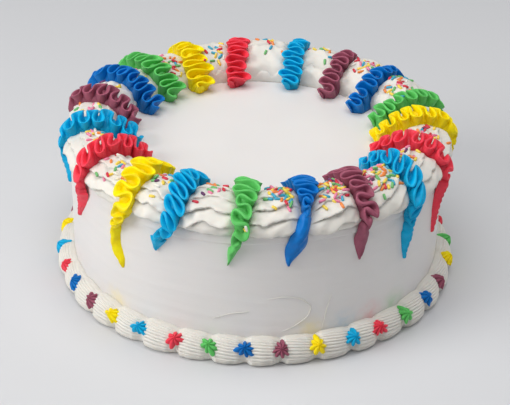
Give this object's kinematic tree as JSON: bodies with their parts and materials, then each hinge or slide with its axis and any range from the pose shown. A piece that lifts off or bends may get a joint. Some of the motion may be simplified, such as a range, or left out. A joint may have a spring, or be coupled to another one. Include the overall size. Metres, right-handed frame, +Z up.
{
  "type": "vanilla cake",
  "caption": "Round vanilla cake with smooth white icing, piped swirl border with sprinkles, coloured ruffle ribbons over the edge, and a shell border with small stars.",
  "frame": {"origin": "middle of the cake's flat foot, on the surface it stands on", "axes": "+Z up, the cake's shown front towards -Y, +X to the right as seen from the front"},
  "size_m": [0.3024, 0.3035, 0.1262],
  "materials": {
    "wall_icing": "smooth white buttercream, satin, with faint spatula lines",
    "border_icing": "piped white buttercream, satin, with fine ribs and folds",
    "red_icing": "piped red buttercream, satin",
    "yellow_icing": "piped yellow buttercream, satin",
    "light_blue_icing": "piped light blue buttercream, satin",
    "blue_icing": "piped blue buttercream, satin",
    "green_icing": "piped green buttercream, satin",
    "purple_icing": "piped dark purple buttercream, satin"
  },
  "bodies": {
    "root": {"bottom_border": "border_icing", "cake_body": "wall_icing", "ribbon_01_red": "red_icing", "ribbon_02_yellow": "yellow_icing", "ribbon_03_light_blue": "light_blue_icing", "ribbon_04_green": "green_icing", "ribbon_05_blue": "blue_icing", "ribbon_06_purple": "purple_icing", "ribbon_07_light_blue": "light_blue_icing", "ribbon_08_red": "red_icing", "ribbon_09_yellow": "yellow_icing", "ribbon_10_green": "green_icing", "ribbon_11_blue": "blue_icing", "ribbon_12_purple": "purple_icing", "ribbon_13_light_blue": "light_blue_icing", "ribbon_14_red": "red_icing", "ribbon_15_yellow": "yellow_icing", "ribbon_16_green": "green_icing", "ribbon_17_blue": "blue_icing", "ribbon_18_purple": "purple_icing", "ribbon_19_light_blue": "light_blue_icing", "star_01_yellow": "yellow_icing", "star_02_light_blue": "light_blue_icing", "star_03_red": "red_icing", "star_04_blue": "blue_icing", "star_05_purple": "purple_icing", "star_06_yellow": "yellow_icing", "star_07_light_blue": "light_blue_icing", "star_08_red": "red_icing", "star_09_green": "green_icing", "star_10_blue": "blue_icing", "star_11_purple": "purple_icing", "star_12_yellow": "yellow_icing", "star_13_light_blue": "light_blue_icing", "star_14_red": "red_icing", "star_15_green": "green_icing", "star_16_blue": "blue_icing", "star_17_purple": "purple_icing", "star_18_yellow": "yellow_icing", "star_19_green": "green_icing", "star_20_red": "red_icing", "star_21_green": "green_icing", "star_22_blue": "blue_icing", "star_23_purple": "purple_icing", "star_24_yellow": "yellow_icing", "star_25_light_blue": "light_blue_icing", "star_26_red": "red_icing", "star_27_green": "green_icing", "star_28_blue": "blue_icing", "star_29_purple": "purple_icing", "star_30_yellow": "yellow_icing", "star_31_light_blue": "light_blue_icing", "star_32_red": "red_icing", "star_33_green": "green_icing", "star_34_blue": "blue_icing", "star_35_purple": "purple_icing", "top_border": "border_icing"}
  },
  "joints": []
}
